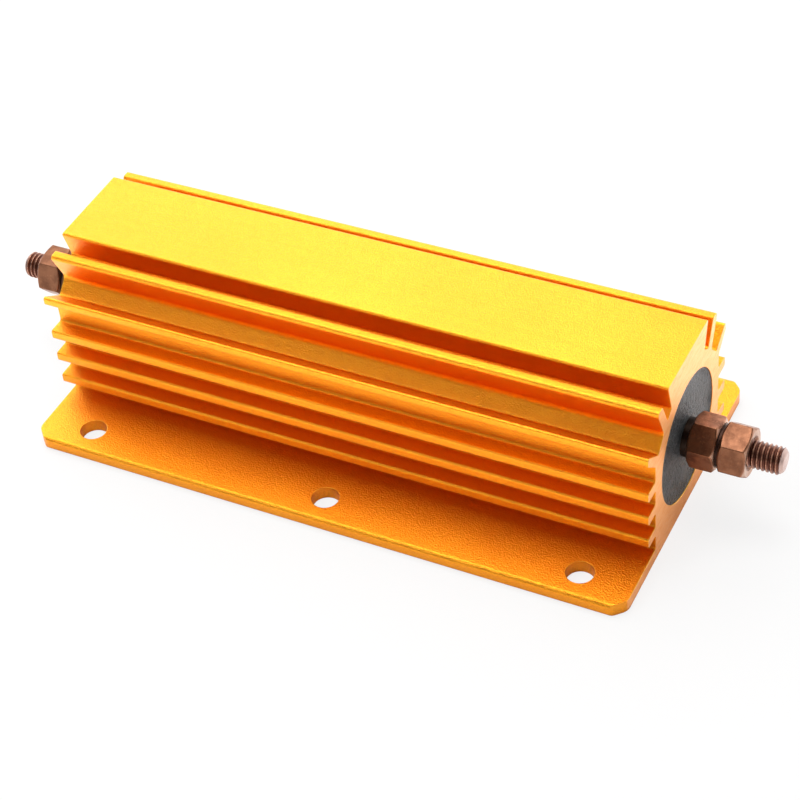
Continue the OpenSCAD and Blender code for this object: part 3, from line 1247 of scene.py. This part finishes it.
@dataclass
class Studio:
    """Pale floor, soft lamps, white surroundings and the camera."""

    floor_size: float = 6.0
    floor_colour: Colour = (0.92, 0.92, 0.92)
    floor_veil: float = 0.82
    # Glow of the floor in reflections, close to the part and further out: a painted shadow near the part.
    floor_glow: tuple[float, float] = (0.05, 1.0)
    footprint: tuple[float, float] = (76.0 * MM, 36.5 * MM)
    back_wall: tuple[float, float] = (2.5, 0.25)
    front_wall: tuple[float, float] = (0.38, 0.0)
    camera_azimuth: float = 30.43
    camera_elevation: float = 42.41
    camera_roll: float = -6.41
    camera_place: tuple[float, float, float] = (0.18387, -0.31015, 0.33359)
    lens: float = 98.46
    shift: tuple[float, float] = (0.0088, 0.0051)
    lamps: tuple[Lamp, ...] = (
        Lamp("overhead_softbox", 208.0, 48.0, 0.80, 0.50, 2.65),
        Lamp("ceiling_softbox", 200.0, 82.0, 0.75, 0.35, 7.0),
        Lamp("left_softbox", 255.0, 45.0, 0.75, 0.50, 2.3),
        Lamp("front_softbox", 318.0, 52.0, 0.80, 0.34, 3.2),
    )

    def build(self) -> None:
        """Lays the floor, hangs the lamps and sets up the camera."""
        self.lay_floor()
        self.paint_world()
        for lamp in self.lamps:
            lamp.hang(Vector((0.0, 0.0, 20 * MM)))
        self.set_camera()
        bpy.context.scene.view_settings.view_transform = "Standard"

    def lay_floor(self) -> None:
        """Lays the floor just under the mounting face; in reflections it glows, with a painted shadow close
        round the part.
        """
        half, below = self.floor_size / 2, -0.05 * MM
        corners = [(-half, -half, below), (half, -half, below), (half, half, below), (-half, half, below)]
        mesh = bpy.data.meshes.new("floor")
        mesh.from_pydata(corners, [], [(0, 1, 2, 3)])
        floor = shown("floor", mesh)
        material = bpy.data.materials.new("floor_paint")
        material.use_nodes = True
        tree = Tree(material.node_tree)
        place = tree.add("ShaderNodeTexCoord").outputs["Object"]
        cloud = tree.add("ShaderNodeTexNoise", {"Vector": place, "Scale": 3.0}).outputs[0]
        shade = tree.remap(cloud, 0.3, 0.7, self.floor_colour[0] - 0.01, self.floor_colour[0] + 0.01)
        grey = tree.add("ShaderNodeCombineColor", {0: shade, 1: shade, 2: shade}).outputs[0]
        paint = tree.add("ShaderNodeBsdfDiffuse", {"Color": grey})
        path = tree.add("ShaderNodeLightPath")
        seen = tree.maths("MAXIMUM", path.outputs["Is Camera Ray"], path.outputs["Is Transmission Ray"])
        white = tree.add("ShaderNodeEmission", {"Color": (1.0, 1.0, 1.0), "Strength": 1.0})
        veil = tree.maths("MULTIPLY", seen, self.floor_veil)
        plain = tree.add("ShaderNodeMixShader", {0: veil, 1: paint.outputs[0], 2: white.outputs[0]})
        parts = tree.add("ShaderNodeSeparateXYZ", {0: place})
        over = [
            tree.maths("SUBTRACT", tree.maths("ABSOLUTE", parts.outputs[k]), self.footprint[k])
            for k in (0, 1)
        ]
        # painted light and shadow: the floor glows in reflections only, held nearly dark close round the part
        away = tree.remap(tree.maths("MAXIMUM", *over), 8 * MM, 17 * MM, *self.floor_glow)
        mirrored = tree.maths("MULTIPLY", path.outputs["Is Glossy Ray"], away)
        glow = tree.add("ShaderNodeEmission", {"Color": (1.0, 1.0, 1.0), "Strength": mirrored})
        both = tree.add("ShaderNodeAddShader", {0: plain.outputs[0], 1: glow.outputs[0]})
        tree.add("ShaderNodeOutputMaterial", {"Surface": both.outputs[0]})
        mesh.materials.append(material)
        log.info("floor laid")

    def paint_world(self) -> None:
        """Paints the surroundings: white where seen, dimmer as a light and toward the front."""
        world = bpy.data.worlds.new("studio")
        bpy.context.scene.world = world
        world.use_nodes = True
        tree = Tree(world.node_tree)
        direction = tree.add("ShaderNodeTexCoord").outputs["Generated"]
        parts = tree.add("ShaderNodeSeparateXYZ", {0: direction})
        back = tree.remap(parts.outputs[2], 0.25, 0.55, *self.back_wall)
        front = tree.remap(parts.outputs[2], 0.25, 0.55, *self.front_wall)
        toward_back = tree.remap(parts.outputs[1], -0.2, 0.2)
        spread = tree.maths("MULTIPLY", tree.maths("SUBTRACT", back, front), toward_back)
        strength = tree.maths("ADD", front, spread)
        light = tree.add("ShaderNodeBackground", {"Color": (1.0, 1.0, 1.0), "Strength": strength})
        white = tree.add("ShaderNodeBackground", {"Color": (1.0, 1.0, 1.0), "Strength": 1.0})
        path = tree.add("ShaderNodeLightPath")
        plain = tree.maths("MAXIMUM", path.outputs["Is Camera Ray"], path.outputs["Is Transmission Ray"])
        both = tree.add("ShaderNodeMixShader", {0: plain, 1: light.outputs[0], 2: white.outputs[0]})
        tree.add("ShaderNodeOutputWorld", {"Surface": both.outputs[0]})

    def set_camera(self) -> None:
        """Sets up the camera."""
        data = bpy.data.cameras.new("camera")
        data.lens = self.lens
        data.sensor_width = 36.0
        data.shift_x, data.shift_y = self.shift
        data.clip_start, data.clip_end = 0.01, 20.0
        camera = bpy.data.objects.new("camera", data)
        a, e = math.radians(self.camera_azimuth), math.radians(self.camera_elevation)
        back = Vector((math.sin(a) * math.cos(e), -math.cos(a) * math.cos(e), math.sin(e)))
        camera.rotation_mode = "QUATERNION"
        roll = Quaternion(back, math.radians(self.camera_roll))
        camera.rotation_quaternion = roll @ (-back).to_track_quat("-Z", "Y")
        camera.location = self.camera_place
        bpy.context.scene.collection.objects.link(camera)
        bpy.context.scene.camera = camera
        log.info("camera set")


def main() -> None:
    """Builds every piece, then the studio."""
    logging.basicConfig(level=logging.INFO, format="%(name)s: %(message)s")
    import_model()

    Housing().build()
    Element().build()

    low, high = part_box("terminal_stud_right")
    height = (low.z + high.z) / 2
    washer_low, washer_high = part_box("washer_right")
    finishes = {
        "stud": BrownedCopper(
            "stud_copper", height,
            rubbed=(0.46, 0.25, 0.17), plain=(0.24, 0.10, 0.065), browned=(0.12, 0.045, 0.030),
            root_radius=2.84 * MM, crest_radius=2.99 * MM,
            # paler over the last 0.75 mm of the stud
            handled=(0.50, 0.37, 0.33), handled_from=high.x - 0.75 * MM, handled_share=0.7,
        ).material(),
        "nut": BrownedCopper(
            "nut_copper", height, faced=(0.66, 0.46, 0.35),
            # darker beyond the washer's middle, on the outer nuts
            handled=(0.17, 0.075, 0.042), handled_from=(washer_low.x + washer_high.x) / 2,
        ).material(),
        "washer": BrownedCopper(
            "washer_copper", height,
            # painted shade: the washer's tones are near black, for the shade of the gap between the nuts
            rubbed=(0.10, 0.05, 0.035), plain=(0.05, 0.026, 0.019), browned=(0.03, 0.016, 0.012),
        ).material(),
    }
    roller, setter, trowel = thread_roller(), nut_setter(), cement_trowel()
    blank = shown("nut_blank", NutBlank().mesh())
    for terminal in (Terminal(Side.LEFT, 41.0, 21.0), Terminal(Side.RIGHT, 15.0, 48.0)):
        terminal.build(roller, setter, blank, finishes)
    bpy.data.objects.remove(blank)

    cement = BlackCement().material()
    for side in Side:
        EndSeal(side).build(trowel, cement)

    Studio().build()


if __name__ == "__main__":
    main()
